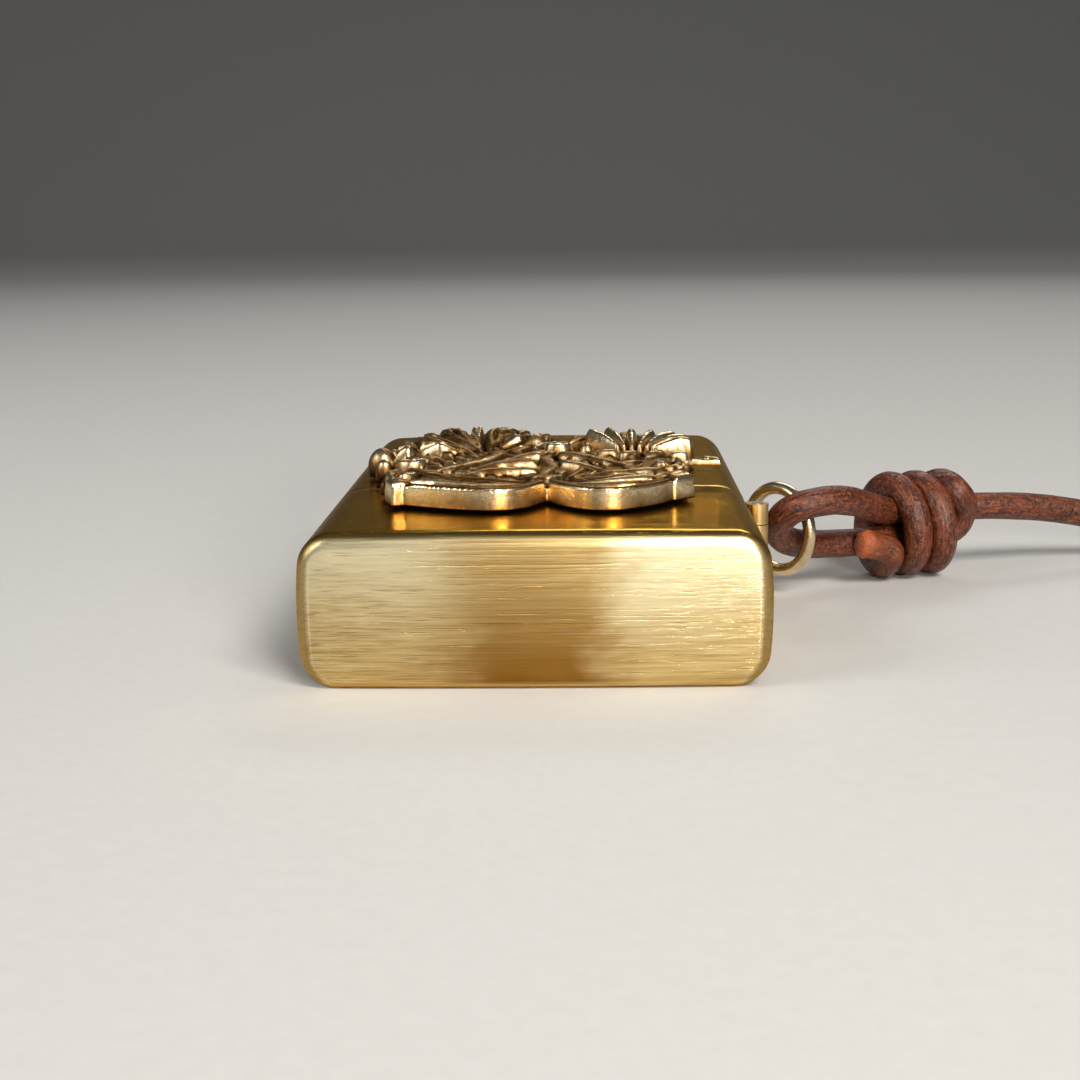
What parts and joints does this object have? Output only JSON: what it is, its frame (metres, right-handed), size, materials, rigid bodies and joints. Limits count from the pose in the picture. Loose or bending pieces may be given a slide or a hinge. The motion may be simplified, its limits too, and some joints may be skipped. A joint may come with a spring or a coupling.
{
  "type": "lighter",
  "caption": "Flip-top windproof petrol lighter in brushed brass, lying on its back, with a cast scroll crest, a side ring and a knotted leather thong.",
  "frame": {"origin": "centre of the case's flat back face, on the surface that the lighter lies on", "axes": "+Z leaves the front face with the crest, -Y points to the lid's end, +X points to the hinge side"},
  "size_m": [0.117, 0.057, 0.0162],
  "materials": {
    "brass_shell": "fine brushed, semi-gloss, lightly tarnished",
    "brass_hinge": "satin",
    "steel_pin": "satin",
    "steel_insert": "satin, faint heat tint",
    "wick_cotton": "woven cotton, charred tip",
    "wadding_cotton": "soft fibre",
    "grey_felt": "pressed felt",
    "hard_steel": "dark, toothed",
    "spring_steel": "bright",
    "brass_tube": "plain turned",
    "flint_alloy": "dull grey",
    "antique_brass": "cast, dark in the hollows, rubbed bright on top",
    "ring_wire": "polished wire",
    "leather_thong": "round cut lace, matte, worn"
  },
  "bodies": {
    "case": {"case_shell": "brass_shell", "case_hinge_leaf": "brass_hinge", "hinge_pin": "steel_pin", "insert_can": "steel_insert", "chimney": "steel_insert", "wick": "wick_cotton", "wadding": "wadding_cotton", "felt_pad": "grey_felt", "wheel_axle": "steel_pin", "flint_tube": "brass_tube", "flint_screw": "brass_tube", "cam_pin": "steel_pin", "cam_spring": "spring_steel", "flint_spring": "spring_steel", "emblem": "antique_brass", "ring_eyelet": "brass_hinge"},
    "lid": {"lid_shell": "brass_shell", "lid_hinge_leaf": "brass_hinge", "lid_stop": "brass_hinge"},
    "wheel": {"flint_wheel": "hard_steel"},
    "cam": {"cam_lever": "hard_steel"},
    "flint": {"flint": "flint_alloy"},
    "ring": {"ring": "ring_wire", "thong_noose": "leather_thong", "thong_tail": "leather_thong", "thong_knot": "leather_thong", "thong_run": "leather_thong", "thong_coil": "leather_thong", "thong_end_knot": "leather_thong"}
  },
  "joints": [
    {"name": "lid_hinge", "type": "hinge", "parent": "case", "child": "lid", "pos_m": [0.0196, -0.0065, 0.00645], "axis": [0, 0, 1], "range_deg": [0, 112]},
    {"name": "wheel_spin", "type": "hinge", "parent": "case", "child": "wheel", "pos_m": [-0.0122, -0.0175, 0.00645], "axis": [0, 0, 1], "continuous": true},
    {"name": "cam_press", "type": "hinge", "parent": "case", "child": "cam", "pos_m": [0.0104, -0.0096, 0.00645], "axis": [0, 0, 1], "range_deg": [0, 6], "stiffness_Nm_per_rad": 0.4, "springref_deg": -6.88, "deforming": ["cam_spring"]},
    {"name": "flint_feed", "type": "slide", "parent": "case", "child": "flint", "axis": [0, 1, 0], "range_m": [0, 0.0012], "stiffness_N_per_m": 120, "springref_m": -0.008, "deforming": ["flint_spring"]},
    {"name": "ring_swing", "type": "hinge", "parent": "case", "child": "ring", "pos_m": [0.02036, 0.0093, 0.00635], "axis": [0, 0, 1], "range_deg": [-10, 35]}
  ]
}
